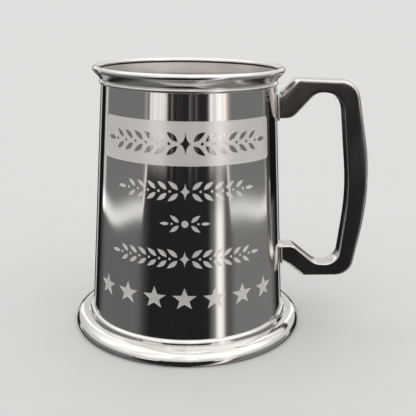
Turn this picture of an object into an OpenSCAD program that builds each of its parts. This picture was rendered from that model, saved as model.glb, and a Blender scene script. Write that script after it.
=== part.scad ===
// Plain one-pint pewter tankard: tapered drum, rolled lip, hollow skirt foot and a cast loop handle.
// The body axis is Z and the origin is on that axis at table level. The handle points along +X,
// and the engraved side faces -Y. Sizes are in millimetres.

/* [Body] */
// Height from the table to the top of the lip
body_h = 120; // [80:1:200]
// Outer radius of the drum at its lower end
drum_r_bottom = 45.3; // [30:0.1:70]
// Outer radius of the drum under the lip
drum_r_top = 38.8; // [25:0.1:60]
// Thickness of the drum's wall
wall = 1.6; // [1:0.1:3]
// Height of the drum's lower edge above the table
drum_z = 3.6; // [2:0.1:10]
// Thickness of the base disc
base_t = 2.2; // [1:0.1:5]

/* [Lip] */
// Height of the lip ring, from the seam to the top
lip_h = 7.6; // [5:0.1:14]
// Amount the rolled bead stands out past the drum's top
lip_overhang = 3.6; // [2:0.1:8]
// Radius of the bead's round section
bead_r = 1.4; // [0.8:0.1:3]
// Radius of the small half-round ring at the neck
neck_bead_r = 0.75; // [0.4:0.05:1.5]
// Curve of the flare: 1 is straight, more is hollower
flare_bend = 1.3; // [1:0.1:3]

/* [Foot] */
// Amount the foot stands out past the drum's lower end
foot_reach = 7.9; // [5:0.1:16]
// Height at which the foot meets the drum
foot_h = 8.8; // [6:0.1:20]
// Radius of the quarter-round beside the drum
foot_bead_r = 1.5; // [0.5:0.1:3]
// Amount the steep band under the quarter-round leans out
band_w = 0.5; // [0.1:0.1:3]
// Height of the steep band
band_h = 1.1; // [0.5:0.1:4]
// Height of the foot's widest circle
foot_side_z = 2; // [0.5:0.1:4]
// Amount the foot turns in below its widest circle
foot_edge_r = 1.2; // [0.4:0.1:2]
// Width of the ring that stands on the table
foot_wall = 1.7; // [1:0.1:3]

/* [Handle] */
// Distance from the drum's lower end out to the handle's back
handle_stand = 37.7; // [28:0.1:60]
// Width of the handle across its flat faces
handle_w = 9.6; // [6:0.1:20]
// Height of the rounded crown along the handle's outside
handle_crown = 1.7; // [0.5:0.1:4]
// Radius of the softened inner edges
handle_edge_r = 0.6; // [0.2:0.1:2]
// Clearance between the seam of the lip and the upper joint's pad
joint_top_gap = 3; // [1:0.1:20]
// Height of the lower joint's middle
joint_low_z = 33.2; // [12:0.1:60]
// Bow of the handle's long side, as its radius over the distance between the joints
handle_bow = 1.724; // [1.5:0.001:4]
// Height of the upper joint's pad
joint_top_h = 13.2; // [8:0.1:24]
// Height of the lower joint's pad
joint_low_h = 9.8; // [5:0.1:20]
// Thickness of the pads that carry the handle
pad_t = 1; // [0.6:0.1:3]
// Amount the pads show around the handle
pad_rim = 0.8; // [0.2:0.1:3]

/* [Seams] */
// Thickness of the solder in a joint
solder_t = 0.2; // [0.1:0.05:0.5]
// Leg of the solder fillet under the base disc
fillet = 1.4; // [0.6:0.1:3]

/* [Engraving] */
// Depth of the engraved areas
engrave_d = 0.15; // [0.05:0.05:0.5]
// Distance from the seam of the lip down to the plain panel
panel_drop = 11; // [2:0.5:60]
// Height of the plain panel
panel_h = 18; // [5:0.5:40]
// Angle the plain panel wraps around the drum
panel_angle = 116; // [40:1:160]
// Height of the row of stars
star_z = 26.9; // [14:0.5:80]
// Outer radius of a star
star_r = 5.1; // [2:0.1:9]
// Angle from one star to the next
star_step = 17; // [8:0.5:40]
// Angle of the engraving's middle, seen from above
engrave_turn = -1.8; // [-30:0.1:30]

/* [Hidden] */
$fn = 144;
star_count = 7;
star_inner = 0.42;
handle_steps = 10;
dome_steps = 12;
edge_steps = 3;
bend_steps = 10;
over = 1;
root = 3;

lip_r = drum_r_top + lip_overhang;
foot_r = drum_r_bottom + foot_reach;
handle_reach = drum_r_bottom + handle_stand;
seam_z = body_h - lip_h;
drum_top_z = seam_z - solder_t;
drum_h = drum_top_z - drum_z;
taper = (drum_r_bottom - drum_r_top) / drum_h;
bead_z = body_h - bead_r;
bead_mid_r = lip_r - bead_r;
neck_z = seam_z + neck_bead_r;
ledge_r = drum_r(foot_h) + foot_bead_r;
band_top_z = foot_h - foot_bead_r;
edge_z = band_top_z - band_h;
edge_r = ledge_r + band_w;

function drum_r(z) = drum_r_bottom - taper * (z - drum_z);
function unit(v) = v / norm(v);
function arc(c, r, a, b, n) = [for (i = [0:n]) c + r * [cos(a + (b - a) * i / n), sin(a + (b - a) * i / n)]];
function turn(a, b) = (b - a + 540) % 360 - 180;

// Half of the angle at the corner q between p and s.
function half_angle(p, q, s) = acos(unit(p - q) * unit(s - q)) / 2;

// Arc that rounds the corner q between p and s, as n steps.
function round_corner(p, q, s, r, n) =
    let (u = unit(p - q), v = unit(s - q), half = half_angle(p, q, s))
    let (c = q + unit(u + v) * r / sin(half))
    let (from = q + u * r / tan(half) - c, to = q + v * r / tan(half) - c)
    let (a = atan2(from[1], from[0]))
    arc(c, r, a, a + turn(a, atan2(to[1], to[0])), n);

// Open outline through knots [x, z, radius], with every inner knot rounded. Where two roundings
// ask for more than the side between them has, both are made smaller by the same share.
function rounded_path(k, n) =
    let (p = [for (q = k) [q[0], q[1]]])
    let (last = len(k) - 1)
    let (need = [
        for (i = [0:last])
            i == 0 || i == last ? 0 : k[i][2] / tan(half_angle(p[i - 1], p[i], p[i + 1]))
    ])
    let (share = [for (i = [0:last - 1]) min(1, norm(p[i + 1] - p[i]) / (need[i] + need[i + 1]))])
    concat(
        [p[0]],
        [
            for (i = [1:last - 1])
                each round_corner(p[i - 1], p[i], p[i + 1], k[i][2] * min(share[i - 1], share[i]), n)
        ],
        [p[last]]
    );

joint_top_z = seam_z - joint_top_gap - joint_top_h / 2;
panel_z = seam_z - panel_drop - panel_h / 2;
top_r = drum_r(joint_top_z);
low_r = drum_r(joint_low_z);
mid_z = (joint_top_z + joint_low_z) / 2;
bow_r = handle_bow * (joint_top_z - joint_low_z);

// Knots of the handle's outside and of its inside, as [x, z, corner radius], from the upper joint down.
back_knots = [
    [top_r - root, joint_top_z + 3.2, 0],
    [top_r + 2.7, joint_top_z + 6.8, 8],
    [top_r + 7.9, joint_top_z + 12.2, 2.5],
    [handle_reach - 7.8, joint_top_z + 11.6, 9],
    [handle_reach + 2, mid_z - 2, bow_r],
    [handle_reach - 5.4, joint_low_z - 11.1, 8],
    [low_r + 10.6, joint_low_z - 11.2, 1.5],
    [low_r + 4, joint_low_z - 5.9, 8],
    [low_r - root, joint_low_z - 1.6, 0]
];
grip_knots = [
    [top_r - root, joint_top_z - 5.8, 0],
    [top_r + 7, joint_top_z - 5.2, 6],
    [top_r + 17.2, joint_top_z + 6.2, 7],
    [handle_reach - 14.5, joint_top_z + 6.2, 9.5],
    [handle_reach - 8.8, mid_z - 6, bow_r],
    [handle_reach - 12.1, joint_low_z - 5.2, 7],
    [low_r + 17, joint_low_z - 5, 8],
    [low_r + 5.8, joint_low_z + 4.1, 6],
    [low_r - root, joint_low_z + 3.8, 0]
];
handle_back = rounded_path(back_knots, handle_steps);
handle_grip = rounded_path(grip_knots, handle_steps);

// Revolved conical ring between two heights, from one distance off the drum's face to another.
module drum_skin(z0, z1, inner, outer, sweep = 360) {
    rotate_extrude(angle = sweep)
        polygon([
            [drum_r(z0) + inner, z0],
            [drum_r(z0) + outer, z0],
            [drum_r(z1) + outer, z1],
            [drum_r(z1) + inner, z1]
        ]);
}

module star_outline() {
    points = 5;
    half_step = 180 / points;
    polygon([
        for (i = [0:2 * points - 1])
            let (r = i % 2 == 0 ? star_r : star_r * star_inner)
            r * [sin(half_step * i), cos(half_step * i)]
    ]);
}

// Layer of the drum's face that the stars remove.
module star_row() {
    intersection() {
        for (i = [0:star_count - 1])
            rotate([0, 0, engrave_turn + (i - (star_count - 1) / 2) * star_step])
                translate([0, 0, star_z])
                    rotate([90, 0, 0])
                        linear_extrude(height = drum_r_bottom + over)
                            star_outline();
        drum_skin(star_z - 2 * star_r, star_z + 2 * star_r, -engrave_d, over);
    }
}

// Drawn drum wall, with the panel and the row of stars cut into its face.
module barrel() {
    color("#b9bbbd")
        difference() {
            drum_skin(drum_z, drum_top_z, -wall, 0);
            star_row();
            rotate([0, 0, engrave_turn - 90 - panel_angle / 2])
                drum_skin(panel_z - panel_h / 2, panel_z + panel_h / 2, -engrave_d, over, panel_angle);
        }
}

module lip_solder() {
    color("#9fa1a3") drum_skin(drum_top_z, seam_z, -wall, 0);
}

// Lip casting: half-round ring that covers the seam, hollow flare and rolled bead.
module lip_ring() {
    join_angle = 37;
    join_z = bead_z - bead_r * sin(join_angle);
    neck_r = drum_r(seam_z) + neck_bead_r / 5;
    bore_r = drum_r(seam_z) - wall;
    flare_reach = bead_mid_r + bead_r * cos(join_angle) - neck_r;
    bore_reach = bead_mid_r - bead_r * cos(join_angle) - bore_r;
    flare_z = seam_z + 2 * neck_bead_r;
    flare = [
        for (i = [1:bend_steps - 1])
            let (t = i / bend_steps)
            [neck_r + flare_reach * pow(t, flare_bend), flare_z + (join_z - flare_z) * t]
    ];
    bore = [
        for (i = [bend_steps - 1:-1:0])
            let (t = i / bend_steps)
            [bore_r + bore_reach * pow(t, flare_bend), seam_z + (join_z - seam_z) * t]
    ];
    color("#c3c5c7")
        rotate_extrude()
            polygon(concat(
                arc([neck_r, neck_z], neck_bead_r, -90, 90, bend_steps),
                flare,
                arc([bead_mid_r, bead_z], bead_r, -join_angle, 180 + join_angle, 2 * bend_steps),
                bore
            ));
}

// Disc that closes the drum, let into its bore above the solder fillet.
module base_disc() {
    z0 = drum_z + fillet;
    z1 = z0 + base_t;
    color("#aeb0b2")
        translate([0, 0, z0])
            cylinder(h = z1 - z0, r1 = drum_r(z0) - wall, r2 = drum_r(z1) - wall);
}

module base_solder() {
    z0 = drum_z;
    z1 = drum_z + fillet;
    color("#9fa1a3")
        rotate_extrude()
            polygon([
                [drum_r(z0) - wall, z0],
                [drum_r(z1) - wall, z1],
                [drum_r(z1) - wall - fillet, z1]
            ]);
}

// Hollow skirt foot: quarter-round, steep band, domed flange and the ring that stands on the table.
module foot_ring() {
    collar_r = drum_r(drum_z) + solder_t;
    hollow = foot_r - foot_edge_r - foot_wall - collar_r;
    first_turn = 80;
    flange = [
        for (i = [0:2 * bend_steps])
            let (a = 90 * i / (2 * bend_steps))
            [edge_r + (foot_r - edge_r) * sin(a), foot_side_z + (edge_z - foot_side_z) * cos(a)]
    ];
    rim = [
        for (i = [1:bend_steps])
            let (a = 90 * i / bend_steps)
            [foot_r - foot_edge_r * (1 - cos(a)), foot_side_z * (1 - sin(a))]
    ];
    under = [
        for (i = [0:bend_steps])
            let (a = 90 * i / bend_steps)
            [collar_r + hollow * cos(a), drum_z * sin(a)]
    ];
    color("#bdbfc1")
        rotate_extrude()
            polygon(concat(
                [[drum_r(foot_h) + solder_t, foot_h]],
                arc([drum_r(foot_h), band_top_z], foot_bead_r, first_turn, 0, bend_steps),
                flange,
                rim,
                under
            ));
}

module foot_solder() {
    color("#9fa1a3") drum_skin(drum_z, foot_h, 0, solder_t);
}

// Rounded rectangle, drawn around its own middle.
module rounded_tile(wide, tall, corner) {
    square([wide - 2 * corner, tall], center = true);
    square([wide, tall - 2 * corner], center = true);
    for (sx = [-1, 1], sy = [-1, 1])
        translate([sx * (wide / 2 - corner), sy * (tall / 2 - corner)])
            circle(r = corner);
}

// Layer bent round the drum's face, cut to a rounded rectangle at a joint.
module joint_patch(z, tall, inner, outer) {
    intersection() {
        translate([0, 0, z])
            rotate([90, 0, 90])
                linear_extrude(height = handle_reach)
                    rounded_tile(handle_w + 2 * pad_rim, tall, 2 * pad_rim);
        drum_skin(z - tall, z + tall, inner, outer);
    }
}

module upper_pad() {
    color("#c0c2c4") joint_patch(joint_top_z, joint_top_h, solder_t, solder_t + pad_t);
}

module upper_solder() {
    color("#9fa1a3") joint_patch(joint_top_z, joint_top_h, 0, solder_t);
}

module lower_pad() {
    color("#c0c2c4") joint_patch(joint_low_z, joint_low_h, solder_t, solder_t + pad_t);
}

module lower_solder() {
    color("#9fa1a3") joint_patch(joint_low_z, joint_low_h, 0, solder_t);
}

// Section of the handle between an inner and an outer point: softened inner edges and a domed back.
function handle_rib(p, q) =
    let (u = unit(q - p), depth = norm(q - p) - handle_crown)
    let (e = min(handle_edge_r, depth / 4), w = handle_w / 2)
    let (outline = concat(
        arc([e, -w + e], e, 180, 270, edge_steps),
        [for (i = [0:dome_steps]) [depth + handle_crown * sin(180 * i / dome_steps), -w * cos(180 * i / dome_steps)]],
        arc([e, w - e], e, 90, 180, edge_steps)
    ))
    [for (o = outline) [p[0] + u[0] * o[0], o[1], p[1] + u[1] * o[0]]];

// Loop of the handle as ribs between two matching outlines, trimmed to the face of its pads.
module handle() {
    ribs = [for (i = [0:len(handle_back) - 1]) handle_rib(handle_grip[i], handle_back[i])];
    n = len(ribs[0]);
    last = len(ribs) - 1;
    color("#b4b6b8")
        difference() {
            polyhedron(
                points = [for (rib = ribs) each rib],
                faces = concat(
                    [[for (k = [0:n - 1]) k]],
                    [for (i = [0:last - 1], k = [0:n - 1])
                        let (m = (k + 1) % n)
                        [i * n + k, (i + 1) * n + k, (i + 1) * n + m, i * n + m]],
                    [[for (k = [n - 1:-1:0]) last * n + k]]
                ),
                convexity = 6
            );
            cylinder(h = body_h, r1 = drum_r(0) + solder_t + pad_t, r2 = drum_r(body_h) + solder_t + pad_t);
        }
}

barrel();
lip_ring();
lip_solder();
base_disc();
base_solder();
foot_ring();
foot_solder();
handle();
upper_pad();
upper_solder();
lower_pad();
lower_solder();
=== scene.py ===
import math

import bmesh
import bpy
from mathutils import Matrix, Vector
from mathutils.geometry import delaunay_2d_cdt


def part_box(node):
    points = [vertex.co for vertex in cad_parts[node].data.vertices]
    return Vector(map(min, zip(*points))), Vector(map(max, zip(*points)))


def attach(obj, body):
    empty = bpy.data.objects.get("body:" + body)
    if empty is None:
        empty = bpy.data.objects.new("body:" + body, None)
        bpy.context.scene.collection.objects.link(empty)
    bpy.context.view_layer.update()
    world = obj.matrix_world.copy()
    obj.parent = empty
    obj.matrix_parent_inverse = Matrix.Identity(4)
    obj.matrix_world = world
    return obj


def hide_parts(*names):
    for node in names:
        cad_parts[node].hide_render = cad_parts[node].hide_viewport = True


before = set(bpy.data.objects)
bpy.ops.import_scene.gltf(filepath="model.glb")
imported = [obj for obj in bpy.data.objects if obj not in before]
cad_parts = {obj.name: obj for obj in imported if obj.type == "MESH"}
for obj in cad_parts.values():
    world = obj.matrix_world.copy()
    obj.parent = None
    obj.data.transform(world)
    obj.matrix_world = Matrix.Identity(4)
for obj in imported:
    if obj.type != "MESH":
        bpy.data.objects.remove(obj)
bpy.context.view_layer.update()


# ---------------------------------------------------------------------------
# The table and the studio: a plain pale table top under a wide overhead softbox, with a softbox to each
# side, a doorway of light to each side of the front, and strips behind. The mirror finish shows them all,
# so each is placed by the angles it fills.
# ---------------------------------------------------------------------------

class Wire:
    """A node socket that takes part in sums, and a maker of the other nodes in its tree."""

    def __init__(self, tree, socket=None):
        self.tree = tree
        self.socket = socket

    def node(self, kind, settings=None, inputs=None, out=0):
        made = self.tree.nodes.new(kind)
        for name, value in (settings or {}).items():
            setattr(made, name, value)
        for name, value in (inputs or {}).items():
            if isinstance(value, Wire):
                self.tree.links.new(value.socket, made.inputs[name])
            else:
                made.inputs[name].default_value = value
        return Wire(self.tree, made.outputs[out] if len(made.outputs) else None)

    def maths(self, operation, *values):
        return self.node("ShaderNodeMath", {"operation": operation}, dict(enumerate(values)))

    def __add__(self, other): return self.maths("ADD", self, other)
    def __radd__(self, other): return self.maths("ADD", other, self)
    def __sub__(self, other): return self.maths("SUBTRACT", self, other)
    def __rsub__(self, other): return self.maths("SUBTRACT", other, self)
    def __mul__(self, other): return self.maths("MULTIPLY", self, other)
    def __rmul__(self, other): return self.maths("MULTIPLY", other, self)
    def __truediv__(self, other): return self.maths("DIVIDE", self, other)
    def __abs__(self): return self.maths("ABSOLUTE", self)

    def rise(self, low, high):
        """0 below low, 1 above high, and smooth between them."""
        return self.node("ShaderNodeMapRange", {"interpolation_type": "SMOOTHSTEP"},
                         {"Value": self, "From Min": low, "From Max": high})


world = bpy.data.worlds.new("studio")
world.use_nodes = True
world.node_tree.nodes.clear()
bpy.context.scene.world = world
sky = Wire(world.node_tree)
heading = sky.node("ShaderNodeTexCoord", out="Generated")
split = sky.node("ShaderNodeSeparateXYZ", inputs={"Vector": heading})
east, north, up = (Wire(sky.tree, s) for s in split.socket.node.outputs)

# Directions are in degrees: turn is 0 at the front and grows to the right, lift is 0 on the level.
degree = 180 / math.pi
turn = sky.maths("ARCTAN2", east, 0 - north) * degree
lift = sky.maths("ARCSINE", up) * degree
away = abs(turn)
left = 0 - turn
right = turn.rise(0, 60)
level_way = sky.node("ShaderNodeVectorMath", {"operation": "MULTIPLY"}, {0: heading, 1: (1, 1, 0)})
drift = sky.node("ShaderNodeTexNoise", inputs={"Vector": level_way, "Scale": 2.4, "Detail": 2.0}, out="Fac")
streak = sky.node("ShaderNodeTexNoise", {"noise_dimensions": "1D"},
                  {"W": turn, "Scale": 0.17, "Detail": 3.0, "Roughness": 0.6}, out="Fac")

# The overhead softbox starts just above the level. Its middle is brighter and a little uneven.
ceiling_level = 0.75
middle_level = 0.35
middle_drift = 0.5
ceiling = lift.rise(2, 9)
middle = lift.rise(20, 46) * (middle_level + middle_drift * drift.rise(0.38, 0.62))
overhead = ceiling * ceiling_level + middle

# The side boxes reach from 50 to 130 degrees on the left, and from 46 to 117 on the right.
# Each is brightest along its foot, which slopes, and has a light rim along both uprights.
box_level = 0.20
box_foot_level = 0.85
near_rim_level = 0.2
far_rim_level = 0.5
near_shift = 4
far_shift = 13
foot_lift = -13.7
front_slope = 2.6
corner_rise = 5
right_rise = 0.6
near_edge = away + near_shift * right
far_edge = away + far_shift * right
box_width = near_edge.rise(50, 53) * (1 - far_edge.rise(130, 135))
near_rim = (1 - abs(near_edge - 54).rise(0, 4)) * near_rim_level
far_rim = (1 - abs(far_edge - 129).rise(1, 7)) * far_rim_level
box_foot = front_slope * (1 - away.rise(50, 112)) + corner_rise * (1 - near_edge.rise(49, 58))
box_foot = box_foot + right_rise * turn.rise(40, 100) + foot_lift
above_foot = lift - box_foot
on_box = above_foot.rise(-0.4, 0.3)
box_fade = box_level + box_foot_level * (1 - above_foot.rise(0.5, 2.1)) + (near_rim + far_rim)
side_boxes = box_width * on_box * box_fade * (1 - ceiling)

# Below each side box lies its dim light on the floor.
floor_level = 0.15
floor_right = 0.06
floor_width = near_edge.rise(44, 66) * (1 - away.rise(118, 142))
side_floor = floor_width * (1 - on_box) * (floor_level + floor_right * right)

# The room in front is dark, with faint upright streaks above the floor.
room_level = 0.012
streak_level = 0.30
room = room_level + streak_level * streak.rise(0.5, 0.75) * lift.rise(-9, -4)
front = (1 - away.rise(50, 51)) * room

# A lane of light runs down from the right doorway, and is a fifth as bright within it.
door_level = 0.75
door_streak = 0.35
lane_level = 1.05
lane_halo = 0.2
lane_fade = 0.8
doors = turn.rise(23, 28) * (1 - turn.rise(47, 50)) + left.rise(24, 31) * (1 - left.rise(49, 51))
doorway = doors * lift.rise(-8, -3) * (1 - ceiling) * (door_level + door_streak * streak.rise(0.4, 0.55))
lane = (1 - abs(turn - 38.5).rise(1, 8)) * lane_level + (1 - abs(turn - 37).rise(5, 14)) * lane_halo
lane = lane * (1 - lane_fade * lift.rise(-11, -7))

# Behind stand a narrow strip to each side and a broad low glow.
strip_level = 0.5
glow_level = 0.22
edge_strip = (1 - abs(away - 153).rise(3, 5)) * strip_level
back_glow = (1 - (180 - away).rise(8, 38)) * (1 - abs(lift - 2).rise(4, 16)) * glow_level

stray_light = 0.008
level = overhead + side_boxes + side_floor + front + doorway + lane + edge_strip + back_glow + stray_light
white_light = (1.0, 0.985, 0.97, 1.0)
warm_light = (1.0, 0.78, 0.72, 1.0)
warmth = streak.rise(0.5, 0.7) * (1 - away.rise(50, 60)) * (1 - lift.rise(6, 20))
light_tint = sky.node("ShaderNodeMix", {"data_type": "RGBA"},
                      {0: warmth, 6: white_light, 7: warm_light}, out=2)
studio = sky.node("ShaderNodeBackground", inputs={"Color": light_tint, "Strength": level})
wall_paint = (0.75, 0.745, 0.73, 1.0)
wall_seen = sky.node("ShaderNodeBackground", inputs={"Color": wall_paint, "Strength": 1.0})
direct = sky.node("ShaderNodeLightPath", out="Is Camera Ray")
shown = sky.node("ShaderNodeMixShader", inputs={0: direct, 1: studio, 2: wall_seen})
sky.node("ShaderNodeOutputWorld", inputs={"Surface": shown})

table_half = 4.0
table_ends = ((-1, -1), (1, -1), (1, 1), (-1, 1))
table_mesh = bpy.data.meshes.new("table_top")
table_mesh.from_pydata([(x * table_half, y * table_half, 0) for x, y in table_ends], [], [(0, 1, 2, 3)])
table_top = bpy.data.objects.new("table_top", table_mesh)
bpy.context.scene.collection.objects.link(table_top)
table_top.visible_glossy = False
pale = bpy.data.materials.new("pale_table")
pale.use_nodes = True
pale.node_tree.nodes.clear()
top = Wire(pale.node_tree)
place = top.node("ShaderNodeTexCoord", out="Object")
grain = top.node("ShaderNodeTexNoise", inputs={"Vector": place, "Scale": 40.0, "Detail": 4.0}, out="Fac")
table_dark = (0.59, 0.59, 0.585, 1.0)
table_light = (0.62, 0.62, 0.615, 1.0)
tone = top.node("ShaderNodeMix", {"data_type": "RGBA"}, {0: grain, 6: table_dark, 7: table_light}, out=2)
paint = top.node("ShaderNodeBsdfPrincipled", inputs={"Base Color": tone, "Roughness": 0.7})
top.node("ShaderNodeOutputMaterial", inputs={"Surface": paint})
table_mesh.materials.append(pale)

mm = 0.001
eye_back = 320.5 * mm
eye_high = 148.2 * mm
swing = -1.65
look_down = 16.34
roll = 0.79
view = bpy.data.cameras.new("view")
view.lens = 61.8
view.sensor_width = 36
eye = bpy.data.objects.new("view", view)
bpy.context.scene.collection.objects.link(eye)
eye.matrix_world = (
    Matrix.Translation((0, -eye_back, eye_high))
    @ Matrix.Rotation(math.radians(swing), 4, "Z")
    @ Matrix.Rotation(math.radians(90 - look_down), 4, "X")
    @ Matrix.Rotation(math.radians(roll), 4, "Z")
)
bpy.context.scene.camera = eye
bpy.context.scene.view_settings.view_transform = "Standard"


# ---------------------------------------------------------------------------
# Drum: the tapered wall, spun from pewter sheet, buffed to a mirror outside and turned satin inside.
# The panel, the sprigs and the row of stars are cut a hair deep and left frosted.
# ---------------------------------------------------------------------------

drum_low, drum_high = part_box("barrel")
seam_low, seam_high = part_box("lip_solder")
drum_foot_r = drum_high.x
taper = (drum_foot_r - seam_high.x) / (seam_low.z - drum_low.z)
wall = 1.6 * mm
cut = 0.12 * mm
slope = math.atan(taper)
mean_r = (drum_foot_r + seam_high.x) / 2


def drum_r(z):
    return drum_foot_r - taper * (z - drum_low.z)


def on_drum(turned, z, lift_off=0.0):
    """The point of the drum's face at an angle from the front, moved out by lift_off."""
    r = drum_r(z) + lift_off
    return Vector((r * math.sin(turned), -r * math.cos(turned), z))


def face_normal(turned, out=1):
    level = math.cos(slope)
    return Vector((math.sin(turned) * level, -math.cos(turned) * level, math.sin(slope))) * out


def leaf(x, y, length, width, tilt, bend):
    """A pointed leaf: two arcs from its stalk to its tip, with a light curve along it."""
    steps = 9
    belly = 0.85
    spine = [Vector((t * length, bend * length * t * (1 - t))) for t in (i / steps for i in range(steps + 1))]
    half = [width / 2 * math.sin(math.pi * (i / steps) ** belly) for i in range(steps + 1)]
    low = [p - Vector((0, h)) for p, h in zip(spine, half)]
    high = [p + Vector((0, h)) for p, h in zip(spine[1:-1], half[1:-1])]
    spun = Matrix.Rotation(tilt, 2)
    return [spun @ p + Vector((x, y)) for p in low + high[::-1]]


def berry(x, y, r):
    sides = 14
    return [Vector((x + r * math.cos(a), y + r * math.sin(a)))
            for a in (i * math.tau / sides for i in range(sides))]


def lozenge(x, y, w, h):
    """A diamond with hollow sides."""
    pinch = 0.18
    corners = [Vector((w / 2, 0)), Vector((0, h / 2)), Vector((-w / 2, 0)), Vector((0, -h / 2))]
    outline = []
    for i, a in enumerate(corners):
        b = corners[(i + 1) % 4]
        pull = -(a + b) * pinch
        outline += [a.lerp(b, t) + pull * 4 * t * (1 - t) for t in (0, 0.25, 0.5, 0.75)]
    return [p + Vector((x, y)) for p in outline]


def star(x, y, r):
    points = 5
    notch = 0.42
    return [Vector((x + q * math.sin(a), y + q * math.cos(a)))
            for q, a in ((r * (notch if i % 2 else 1), i * math.pi / points) for i in range(2 * points))]


def sprig(x0, x1, y, height, pairs):
    """Leaves in pairs along a stalk, with a berry after each pair. The stalk runs from x0 to x1."""
    first_leaf, shrink, tip_leaf, slimness = 0.74, 0.16, 0.62, 0.36
    spread, bend, berry_place, berry_size, tip_room = 0.1, 0.12, 0.72, 0.075, 0.6
    opening = math.radians(38)
    way = 1 if x1 > x0 else -1
    step = (x1 - x0) / (pairs + tip_room)
    shapes = []
    for i in range(pairs):
        x = x0 + step * i
        size = height * (first_leaf - shrink * i / pairs)
        for side in (1, -1):
            lean = side * opening
            tilt = lean if way > 0 else math.pi - lean
            shapes.append(leaf(x, y + side * spread * height, size, size * slimness, tilt, bend * side * way))
        shapes.append(berry(x + step * berry_place, y, height * berry_size))
    tip = tip_leaf * height
    shapes.append(leaf(x0 + step * pairs, y, tip, tip * slimness, 0 if way > 0 else math.pi, 0))
    return shapes


def rounded_tile(x0, x1, y0, y1, r):
    steps = 6
    corners = ((x1 - r, y1 - r, 0), (x0 + r, y1 - r, 1), (x0 + r, y0 + r, 2), (x1 - r, y0 + r, 3))
    return [Vector((cx + r * math.cos(a), cy + r * math.sin(a)))
            for cx, cy, q in corners for a in ((q + i / steps) * math.pi / 2 for i in range(steps + 1))]


def along(angle):
    """Distance round the mean drum for an angle in degrees from the front."""
    return math.radians(angle) * mean_r


centre = along(-1.8)
panel_y = 92.4 * mm
panel_gap = 3.4 * mm
panel_leaves = 8.6 * mm
panel = rounded_tile(along(-59.8), along(56.2), 83.4 * mm, 101.4 * mm, 2.2 * mm)
islands = sprig(centre - panel_gap, along(-53), panel_y, panel_leaves, 6)
islands += sprig(centre + panel_gap, along(49.4), panel_y, panel_leaves, 6)
islands.append(lozenge(centre, panel_y, 5.0 * mm, 9.0 * mm))

row_gap = 3.0 * mm
row_leaves = 7.4 * mm
motifs = []
for row_y, reach, pairs in ((73.0 * mm, 40.9, 5), (44.5 * mm, 44.2, 6)):
    motifs += sprig(centre - row_gap, centre - along(reach), row_y, row_leaves, pairs)
    motifs += sprig(centre + row_gap, centre + along(reach), row_y, row_leaves, pairs)
    motifs.append(lozenge(centre, row_y, 4.2 * mm, 7.2 * mm))

short_y = 59.5 * mm
short_gap = 2.6 * mm
short_leaves = 6.4 * mm
short_reach = along(12.4)
motifs += sprig(centre - short_gap, centre - short_reach, short_y, short_leaves, 1)
motifs += sprig(centre + short_gap, centre + short_reach, short_y, short_leaves, 1)
motifs.append(berry(centre, short_y, 1.5 * mm))

star_count = 7
star_pitch = along(17)
star_y = 26.9 * mm
star_r = 5.1 * mm
for i in range(star_count):
    motifs.append(star(centre + star_pitch * (i - (star_count - 1) / 2), star_y, star_r))


def laid_out(shape, longest=1.1 * mm):
    """The outline run anticlockwise, with its long sides cut up so that they bend round the drum."""
    ends = list(zip(shape, shape[1:] + shape[:1]))
    if sum(a.cross(b) for a, b in ends) < 0:
        ends = [(b, a) for a, b in reversed(ends)]
    line = []
    for a, b in ends:
        parts = max(1, math.ceil((b - a).length / longest))
        line += [a.lerp(b, i / parts) for i in range(parts)]
    return line


columns = 180
rows = 14
weld = 1e-7
places = 8
flat = [Vector((along(-180 + 360 * c / columns), drum_low.z + (drum_high.z - drum_low.z) * r / rows))
        for r in range(rows + 1) for c in range(columns + 1)]
outlines = []
for shape in [laid_out(shape) for shape in [panel] + islands + motifs]:
    outlines.append(list(range(len(flat), len(flat) + len(shape))))
    flat += shape
border = list(range(columns + 1))
border += [r * (columns + 1) + columns for r in range(1, rows + 1)]
border += [rows * (columns + 1) + c for c in range(columns - 1, -1, -1)]
border += [r * (columns + 1) for r in range(rows - 1, 0, -1)]
sheet = delaunay_2d_cdt(flat, [], [border] + outlines, 1, weld)
spots, faces, owners = sheet[0], sheet[2], sheet[5]
panel_id = 1
first_island = 2
first_motif = first_island + len(islands)


def is_cut(held):
    in_panel = panel_id in held
    in_island = any(first_island <= h < first_motif for h in held)
    return any(h >= first_motif for h in held) or (in_panel and not in_island)


polished, satin, frosted = 0, 1, 2
points, corners, normals, finishes = [], [], [], []
known = {}


def corner(spot, depth):
    p = spots[spot]
    x = -p.x if abs(p.x - along(180)) < 10 ** -places else p.x
    key = (round(x, places), round(p.y, places), depth)
    if key not in known:
        known[key] = len(points)
        points.append(on_drum(x / mean_r, p.y, -depth))
    return known[key]


def add_face(ids, shade, finish):
    corners.append(ids)
    normals.extend(shade)
    finishes.append(finish)


edge_sides = {}
for face, held in zip(faces, owners):
    engraved = is_cut(held)
    depth = cut if engraved else 0.0
    add_face([corner(s, depth) for s in face],
             [face_normal(spots[s].x / mean_r) for s in face],
             frosted if engraved else polished)
    for a, b in zip(face, face[1:] + face[:1]):
        edge_sides.setdefault((a, b), engraved)
for (a, b), engraved in edge_sides.items():
    if engraved and edge_sides.get((b, a)) is False:
        quad = [corner(b, cut), corner(a, cut), corner(a, 0.0), corner(b, 0.0)]
        p, q, r = (points[i] for i in quad[:3])
        side = (q - p).cross(r - p).normalized()
        add_face(quad, [side] * 4, frosted)

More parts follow.
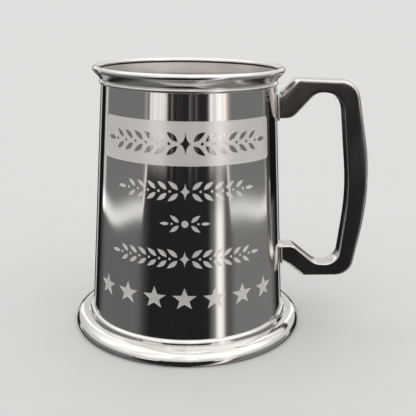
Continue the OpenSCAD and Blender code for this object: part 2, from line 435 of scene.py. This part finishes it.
outer_low = [corner(c, 0.0) for c in range(columns + 1)]
outer_high = [corner(rows * (columns + 1) + c, 0.0) for c in range(columns + 1)]
inner_rows = []
for r in range(rows + 1):
    z = drum_low.z + (drum_high.z - drum_low.z) * r / rows
    first = len(points)
    inner_rows.append([first + c % columns for c in range(columns + 1)])
    points += [on_drum(math.tau * (c / columns - 0.5), z, -wall) for c in range(columns)]
for c in range(columns):
    a0, a1 = (math.tau * (k / columns - 0.5) for k in (c, c + 1))
    for r in range(rows):
        low, high = inner_rows[r], inner_rows[r + 1]
        add_face([low[c + 1], low[c], high[c], high[c + 1]],
                 [face_normal(a, -1) for a in (a1, a0, a0, a1)], satin)
    add_face([outer_high[c], outer_high[c + 1], inner_rows[-1][c + 1], inner_rows[-1][c]],
             [Vector((0, 0, 1))] * 4, satin)
    add_face([outer_low[c + 1], outer_low[c], inner_rows[0][c], inner_rows[0][c + 1]],
             [Vector((0, 0, -1))] * 4, satin)


def metal(name, tint, shine, sheen_bump, ring=0.0, cloud=14.0, stretch=(1, 1, 0.18), purity=1.0,
          depth=0.07):
    """Pewter: a tint, the range of its roughness, the height of its buffing marks and turning rings."""
    grain_scale = 2400.0
    ring_scale = 900.0
    patch_bump = 4
    made = bpy.data.materials.new(name)
    made.use_nodes = True
    made.node_tree.nodes.clear()
    pot = Wire(made.node_tree)
    place = pot.node("ShaderNodeTexCoord", out="Object")
    drawn = pot.node("ShaderNodeVectorMath", {"operation": "MULTIPLY"}, {0: place, 1: stretch})
    patch = pot.node("ShaderNodeTexNoise", inputs={"Vector": drawn, "Scale": cloud, "Detail": 5.0}, out="Fac")
    fine = pot.node("ShaderNodeTexNoise",
                    inputs={"Vector": drawn, "Scale": grain_scale, "Detail": 2.0}, out="Fac")
    dark = tuple(t * (1 - depth) for t in tint) + (1.0,)
    colour = pot.node("ShaderNodeMix", {"data_type": "RGBA"}, {0: patch, 6: dark, 7: tint + (1.0,)}, out=2)
    rough = shine[0] + (shine[1] - shine[0]) * patch.rise(0.3, 0.7)
    height = fine * sheen_bump + patch * (sheen_bump * patch_bump)
    if ring:
        axis = pot.node("ShaderNodeSeparateXYZ", inputs={"Vector": place})
        x, y, z = (Wire(pot.tree, s) for s in axis.socket.node.outputs)
        radius = pot.maths("SQRT", x * x + y * y)
        lathe = pot.node("ShaderNodeTexNoise", {"noise_dimensions": "2D"},
                         {"Vector": pot.node("ShaderNodeCombineXYZ", inputs={0: radius, 1: z}),
                          "Scale": ring_scale, "Detail": 3.0}, out="Fac")
        height = height + lathe * ring
    bump = pot.node("ShaderNodeBump", inputs={"Height": height, "Strength": 0.5, "Distance": 1.0})
    body = pot.node("ShaderNodeBsdfPrincipled",
                    inputs={"Base Color": colour, "Metallic": purity, "Roughness": rough, "Normal": bump})
    pot.node("ShaderNodeOutputMaterial", inputs={"Surface": body})
    return made


mirror_pewter = metal("mirror_pewter", (0.77, 0.76, 0.74), (0.045, 0.085), 0.0000012)
buffed_pewter = metal("buffed_pewter", (0.77, 0.76, 0.74), (0.11, 0.18), 0.000002, cloud=40.0)
satin_pewter = metal("satin_pewter", (0.43, 0.40, 0.365), (0.24, 0.34), 0.000004,
                     ring=0.00003, cloud=70.0, depth=0.35)
frosted_cut = metal("frosted_cut", (0.95, 0.93, 0.92), (0.26, 0.26), 0.000002,
                    cloud=90.0, stretch=(1, 1, 1), purity=0.5, depth=0.14)


def piece(name, mesh, slot, *nodes):
    """Puts a finished mesh in the frame as the piece that stands for those CAD nodes."""
    made = bpy.data.objects.new(name, mesh)
    bpy.context.scene.collection.objects.link(made)
    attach(made, "root")
    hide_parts(*nodes)


drum_mesh = bpy.data.meshes.new("drum")
drum_mesh.from_pydata(points, [], corners)
for finish in (mirror_pewter, satin_pewter, frosted_cut):
    drum_mesh.materials.append(finish)
drum_mesh.polygons.foreach_set("material_index", finishes)
drum_mesh.polygons.foreach_set("use_smooth", [True] * len(corners))
drum_mesh.normals_split_custom_set([n[:] for n in normals])
piece("drum", drum_mesh, "polished_body", "barrel")


# ---------------------------------------------------------------------------
# Lip: a cast ring, turned on the lathe and soldered to the drum. It has a half-round ring over the seam,
# a hollow flare and a rolled bead that the drinker's mouth meets.
# ---------------------------------------------------------------------------

def build_lathe():
    """Geometry Nodes tree that turns a closed profile in the XZ plane about the Z axis."""
    tree = bpy.data.node_groups.new("lathe", "GeometryNodeTree")
    face = tree.interface
    face.new_socket("Profile", in_out="INPUT", socket_type="NodeSocketGeometry")
    face.new_socket("Steps", in_out="INPUT", socket_type="NodeSocketInt")
    face.new_socket("Outline points", in_out="INPUT", socket_type="NodeSocketInt")
    face.new_socket("Finish", in_out="INPUT", socket_type="NodeSocketMaterial")
    face.new_socket("Turned", in_out="OUTPUT", socket_type="NodeSocketGeometry")
    lathe = Wire(tree)
    given = lathe.node("NodeGroupInput").socket.node.outputs
    profile, steps, count, finish = (Wire(tree, s) for s in list(given)[:4])
    whole = lathe.node("GeometryNodeMeshGrid", inputs={
        "Size X": math.tau, "Size Y": count + 0.0, "Vertices X": steps + 1.0, "Vertices Y": count + 1.0})
    at = lathe.node("ShaderNodeSeparateXYZ", inputs={"Vector": lathe.node("GeometryNodeInputPosition")})
    across, down = (Wire(tree, s) for s in list(at.socket.node.outputs)[:2])
    stop = lathe.maths("FLOORED_MODULO", down + count / 2 + 0.5, count)
    knot = lathe.node("GeometryNodeSampleIndex", {"data_type": "FLOAT_VECTOR"}, {
        "Geometry": profile, "Value": lathe.node("GeometryNodeInputPosition"),
        "Index": lathe.maths("FLOOR", stop)})
    out = lathe.node("ShaderNodeSeparateXYZ", inputs={"Vector": knot})
    radius, _, height = (Wire(tree, s) for s in out.socket.node.outputs)
    spot = lathe.node("ShaderNodeCombineXYZ", inputs={
        0: radius * lathe.maths("COSINE", across), 1: radius * lathe.maths("SINE", across), 2: height})
    bent = lathe.node("GeometryNodeSetPosition", inputs={"Geometry": whole, "Position": spot})
    joined = lathe.node("GeometryNodeMergeByDistance", inputs={"Geometry": bent, "Distance": weld})
    real = lathe.node("GeometryNodeRealizeInstances", inputs={"Geometry": joined})
    dressed = lathe.node("GeometryNodeSetMaterial", inputs={"Geometry": real, "Material": finish})
    lathe.node("NodeGroupOutput", inputs={"Turned": dressed})
    return tree


lathe_tree = build_lathe()


def turned(name, outline, finish, steps=256):
    """A ring or disc turned from its outline, as a plain closed mesh with outward faces."""
    crease = math.radians(40)
    wire = bpy.data.meshes.new(name + "_outline")
    wire.from_pydata([(r, 0, z) for r, z in outline], [], [])
    blank = bpy.data.objects.new(name + "_blank", wire)
    bpy.context.scene.collection.objects.link(blank)
    maker = blank.modifiers.new("lathe", "NODES")
    maker.node_group = lathe_tree
    ids = {s.name: s.identifier for s in lathe_tree.interface.items_tree if s.in_out == "INPUT"}
    maker[ids["Steps"]] = steps
    maker[ids["Outline points"]] = len(outline)
    maker[ids["Finish"]] = finish
    bpy.context.view_layer.update()
    ready = blank.evaluated_get(bpy.context.evaluated_depsgraph_get())
    mesh = bpy.data.meshes.new_from_object(ready)
    blank.modifiers.remove(maker)
    bpy.data.objects.remove(blank)
    tidy = bmesh.new()
    tidy.from_mesh(mesh)
    bmesh.ops.remove_doubles(tidy, verts=tidy.verts, dist=weld)
    bmesh.ops.delete(tidy, geom=[e for e in tidy.edges if not e.link_faces], context="EDGES")
    bmesh.ops.recalc_face_normals(tidy, faces=tidy.faces)
    tidy.to_mesh(mesh)
    tidy.free()
    mesh.materials.clear()
    mesh.materials.append(finish)
    mesh.polygons.foreach_set("material_index", [0] * len(mesh.polygons))
    mesh.shade_smooth()
    mesh.set_sharp_from_angle(angle=crease)
    mesh.name = name
    return mesh


def arc(cx, cz, r, a, b, steps):
    return [(cx + r * math.cos(t), cz + r * math.sin(t))
            for t in (math.radians(a + (b - a) * i / steps) for i in range(steps + 1))]


lip_low, lip_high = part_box("lip_ring")
bead = 1.4 * mm
neck_bead = 0.75 * mm
flare_bend = 1.3
join = 37
flare_steps = 16
neck_steps = 12
bead_steps = 28
bead_r = lip_high.x - bead
bead_z = lip_high.z - bead
seam_z = lip_low.z
neck_r = drum_r(seam_z) + neck_bead / 5
bore_r = drum_r(seam_z) - wall
join_z = bead_z - bead * math.sin(math.radians(join))
flare_out = bead_r + bead * math.cos(math.radians(join)) - neck_r
flare_in = bead_r - bead * math.cos(math.radians(join)) - bore_r
flare_z = seam_z + 2 * neck_bead
lip_outline = arc(neck_r, seam_z + neck_bead, neck_bead, -90, 90, neck_steps)
lip_outline += [(neck_r + flare_out * t ** flare_bend, flare_z + (join_z - flare_z) * t)
                for t in (i / flare_steps for i in range(1, flare_steps))]
lip_outline += arc(bead_r, bead_z, bead, -join, 180 + join, bead_steps)
lip_outline += [(bore_r + flare_in * t ** flare_bend, seam_z + (join_z - seam_z) * t)
                for t in (1 - i / flare_steps for i in range(1, flare_steps + 1))]
lip_mesh = turned("lip", lip_outline, buffed_pewter)
lip_mesh.materials.append(satin_pewter)
for face in lip_mesh.polygons:
    inward = face.normal.x * face.center.x + face.normal.y * face.center.y < 0
    face.material_index = satin if inward and face.center.z < bead_z else polished
piece("lip", lip_mesh, "polished_lip", "lip_ring")


# ---------------------------------------------------------------------------
# Solder: soft tin solder drawn into each seam and scraped flush. It is greyer and duller than pewter.
# It joins the lip and the foot to the drum, and lies in a fillet under the base disc.
# ---------------------------------------------------------------------------

tin_solder = metal("tin_solder", (0.62, 0.62, 0.61), (0.32, 0.48), 0.00001, cloud=300.0, stretch=(1, 1, 1))
for node in ("lip_solder", "foot_solder", "base_solder", "upper_solder", "lower_solder"):
    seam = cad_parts[node]
    seam.data.materials.clear()
    seam.data.materials.append(tin_solder)


# ---------------------------------------------------------------------------
# Base disc: a round of sheet let into the drum's lower end, turned satin on both faces.
# The tool leaves fine rings that run round the middle.
# ---------------------------------------------------------------------------

disc_low, disc_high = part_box("base_disc")
groove = 0.05 * mm
pitch = 2.9 * mm
groove_half = 0.3 * pitch
turned_disc = metal("turned_disc", (0.72, 0.70, 0.66), (0.26, 0.40), 0.000004, ring=0.00006, cloud=40.0)
rim_low = drum_r(disc_low.z) - wall
rim_high = drum_r(disc_high.z) - wall
rings = int(rim_high / pitch)
disc_outline = [(0.0, disc_low.z), (rim_low, disc_low.z), (rim_high, disc_high.z)]
for i in range(rings, 0, -1):
    r = i * pitch
    disc_outline += [(r + groove_half, disc_high.z), (r, disc_high.z - groove),
                     (r - groove_half, disc_high.z)]
disc_outline.append((0.0, disc_high.z))
piece("base_plate", turned("base_plate", disc_outline, turned_disc), "turned_base", "base_disc")


# ---------------------------------------------------------------------------
# Foot: a hollow cast skirt, turned and buffed. From the drum down it has a quarter-round, a steep band
# and a domed flange that turns in to a narrow standing ring.
# ---------------------------------------------------------------------------

foot_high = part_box("foot_ring")[1]
solder = 0.2 * mm
quarter = 1.5 * mm
band_w = 0.5 * mm
band_h = 1.1 * mm
foot_wall = 1.7 * mm
side_z = 2.0 * mm
soft = 1.2 * mm
foot_r = foot_high.x
foot_z = foot_high.z
band_top = foot_z - quarter
edge_r = drum_r(foot_z) + quarter + band_w
edge_z = band_top - band_h
collar = drum_r(drum_low.z) + solder
hollow = foot_r - soft - foot_wall - collar
foot_steps = 20
quarter_steps = 14
foot_facets = 320
foot_outline = [(drum_r(foot_z) + solder, foot_z)]
foot_outline += arc(drum_r(foot_z), band_top, quarter, 80, 0, quarter_steps)
for i in range(2 * foot_steps + 1):
    a = math.radians(45 * i / foot_steps)
    foot_outline.append((edge_r + (foot_r - edge_r) * math.sin(a), side_z + (edge_z - side_z) * math.cos(a)))
for i in range(1, foot_steps + 1):
    a = math.radians(90 * i / foot_steps)
    foot_outline.append((foot_r - soft * (1 - math.cos(a)), side_z * (1 - math.sin(a))))
for i in range(foot_steps + 1):
    a = math.radians(90 * i / foot_steps)
    foot_outline.append((collar + hollow * math.cos(a), drum_low.z * math.sin(a)))
piece("foot", turned("foot", foot_outline, mirror_pewter, foot_facets), "polished_foot", "foot_ring")


# ---------------------------------------------------------------------------
# Handle: a solid casting with flat cheeks and a domed back, filed, buffed and soldered on at both ends.
# Each knot gives x, z and a corner radius. Ribs run between the knots of the grip and those of the back.
# ---------------------------------------------------------------------------

handle_low, handle_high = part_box("handle")
upper_low, upper_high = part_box("upper_pad")
lower_low, lower_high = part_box("lower_pad")
pad_t = 1.0 * mm
handle_w = handle_high.y - handle_low.y
crown = 1.7 * mm
soft_edge = 0.6 * mm
reach = 83.0 * mm
root = 3.0 * mm
top_z = (upper_low.z + upper_high.z) / 2
low_z = (lower_low.z + lower_high.z) / 2
mid_z = (top_z + low_z) / 2
top_r = drum_r(top_z)
low_r = drum_r(low_z)
bend_steps = 18
edge_steps = 5
cheek_steps = 4
crown_steps = 24
back_knots = (
    (top_r - root, top_z + 3.2 * mm, 0),
    (top_r + 2.7 * mm, top_z + 6.8 * mm, 8 * mm),
    (top_r + 7.9 * mm, top_z + 12.2 * mm, 2.5 * mm),
    (reach - 7.8 * mm, top_z + 11.6 * mm, 9 * mm),
    (reach + 2 * mm, mid_z - 2 * mm, 120 * mm),
    (reach - 5.4 * mm, low_z - 11.1 * mm, 8 * mm),
    (low_r + 10.6 * mm, low_z - 11.2 * mm, 1.5 * mm),
    (low_r + 4 * mm, low_z - 5.9 * mm, 8 * mm),
    (low_r - root, low_z - 1.6 * mm, 0),
)
grip_knots = (
    (top_r - root, top_z - 5.8 * mm, 0),
    (top_r + 7 * mm, top_z - 5.2 * mm, 6 * mm),
    (top_r + 17.2 * mm, top_z + 6.2 * mm, 7 * mm),
    (reach - 14.5 * mm, top_z + 6.2 * mm, 9.5 * mm),
    (reach - 8.8 * mm, mid_z - 6 * mm, 120 * mm),
    (reach - 12.1 * mm, low_z - 5.2 * mm, 7 * mm),
    (low_r + 17 * mm, low_z - 5 * mm, 8 * mm),
    (low_r + 5.8 * mm, low_z + 4.1 * mm, 6 * mm),
    (low_r - root, low_z + 3.8 * mm, 0),
)


def rounded_path(knots):
    """The line through the knots, each inner knot rounded to its own radius."""
    spots = [Vector((x, z)) for x, z, _ in knots]
    line = [spots[0]]
    for before, here, after, knot in zip(spots, spots[1:], spots[2:], knots[1:]):
        u = (before - here).normalized()
        v = (after - here).normalized()
        half = u.angle(v) / 2
        middle = here + (u + v).normalized() * knot[2] / math.sin(half)
        start = here + u * knot[2] / math.tan(half) - middle
        end = here + v * knot[2] / math.tan(half) - middle
        sweep = end.angle_signed(start)
        for i in range(bend_steps + 1):
            line.append(middle + Matrix.Rotation(sweep * i / bend_steps, 2) @ start)
    return line + [spots[-1]]


def rib(p, q):
    """Section between an inner point p and an outer point q: softened inner edges and a domed back."""
    u = (q - p).normalized()
    depth = (q - p).length - crown
    e = min(soft_edge, depth / cheek_steps)
    w = handle_w / 2
    shape = [(e + e * math.cos(t), -w + e + e * math.sin(t))
             for t in (math.radians(180 + 90 * i / edge_steps) for i in range(edge_steps + 1))]
    shape += [(depth * k / cheek_steps, -w) for k in range(1, cheek_steps)]
    shape += [(depth + crown * math.sin(t), -w * math.cos(t))
              for t in (math.pi * i / crown_steps for i in range(crown_steps + 1))]
    shape += [(depth * k / cheek_steps, w) for k in range(cheek_steps - 1, 0, -1)]
    shape += [(e + e * math.cos(t), w - e + e * math.sin(t))
              for t in (math.radians(90 + 90 * i / edge_steps) for i in range(edge_steps + 1))]
    return [Vector((p.x + u.x * d, y, p.y + u.y * d)) for d, y in shape]


def meet_drum(inside, outside, off):
    """Where a line from inside the drum's offset face to outside it crosses that face."""
    halvings = 40
    a, b = 0.0, 1.0
    for _ in range(halvings):
        t = (a + b) / 2
        p = inside.lerp(outside, t)
        if math.hypot(p.x, p.y) < drum_r(p.z) + off:
            a = t
        else:
            b = t
    return inside.lerp(outside, b)


ribs = [rib(p, q) for p, q in zip(rounded_path(grip_knots), rounded_path(back_knots))]
seat = solder + pad_t
ribs[0] = [meet_drum(p, q, seat) for p, q in zip(ribs[0], ribs[1])]
ribs[-1] = [meet_drum(p, q, seat) for p, q in zip(ribs[-1], ribs[-2])]
cast_pewter = metal("cast_pewter", (0.76, 0.73, 0.71), (0.08, 0.2), 0.000003,
                    cloud=55.0, stretch=(1, 1, 0.5), depth=0.12)


def skinned(name, loops, finish, sharp):
    """A closed mesh through rings of points, with a flat cap on each end ring."""
    count = len(loops[0])
    skin = bpy.data.meshes.new(name)
    last = (len(loops) - 1) * count
    sides = [(low + k, low + (k + 1) % count, low + count + (k + 1) % count, low + count + k)
             for low in range(0, last, count) for k in range(count)]
    caps = [tuple(range(count)), tuple(last + k for k in range(count))]
    skin.from_pydata([p for loop in loops for p in loop], [], sides + caps)
    skin.materials.append(finish)
    tidy = bmesh.new()
    tidy.from_mesh(skin)
    bmesh.ops.remove_doubles(tidy, verts=tidy.verts, dist=weld)
    bmesh.ops.triangulate(tidy, faces=[f for f in tidy.faces if len(f.verts) > 4])
    bmesh.ops.recalc_face_normals(tidy, faces=tidy.faces)
    tidy.to_mesh(skin)
    tidy.free()
    skin.shade_smooth()
    skin.set_sharp_from_angle(angle=math.radians(sharp))
    return skin


piece("handle_loop", skinned("handle_loop", ribs, cast_pewter, 35), "cast_handle", "handle")


# ---------------------------------------------------------------------------
# Pads: two small castings bent to the drum that carry the handle's ends. Their edges are filed round,
# and solder holds them to the drum.
# ---------------------------------------------------------------------------

pad_rim = 0.8 * mm
least_corner = 0.3 * mm


def pad_mesh(name, z, tall):
    """A rounded tile laid on the drum, as rings that step up its filed edge and across its top."""
    wide = handle_w + 2 * pad_rim
    insets = (0, 0, 0.06, 0.17, 0.34, 0.6, 1.6)
    heights = (0, 0.45, 0.7, 0.88, 0.97, 1.0, 1.0)
    loops = []
    for inset, height in zip(insets, heights):
        i = inset * mm
        edge = rounded_tile(-wide / 2 + i, wide / 2 - i, z - tall / 2 + i, z + tall / 2 - i,
                            max(2 * pad_rim - i, least_corner))
        loop = []
        for p in edge:
            r = drum_r(p.y) + solder + pad_t * height
            loop.append(Vector((math.sqrt(r * r - p.x * p.x), p.x, p.y)))
        loops.append(loop)
    return skinned(name, loops, cast_pewter, 50)


piece("pad_top", pad_mesh("pad_top", top_z, upper_high.z - upper_low.z), "cast_pad", "upper_pad")
piece("pad_low", pad_mesh("pad_low", low_z, lower_high.z - lower_low.z), "cast_pad", "lower_pad")
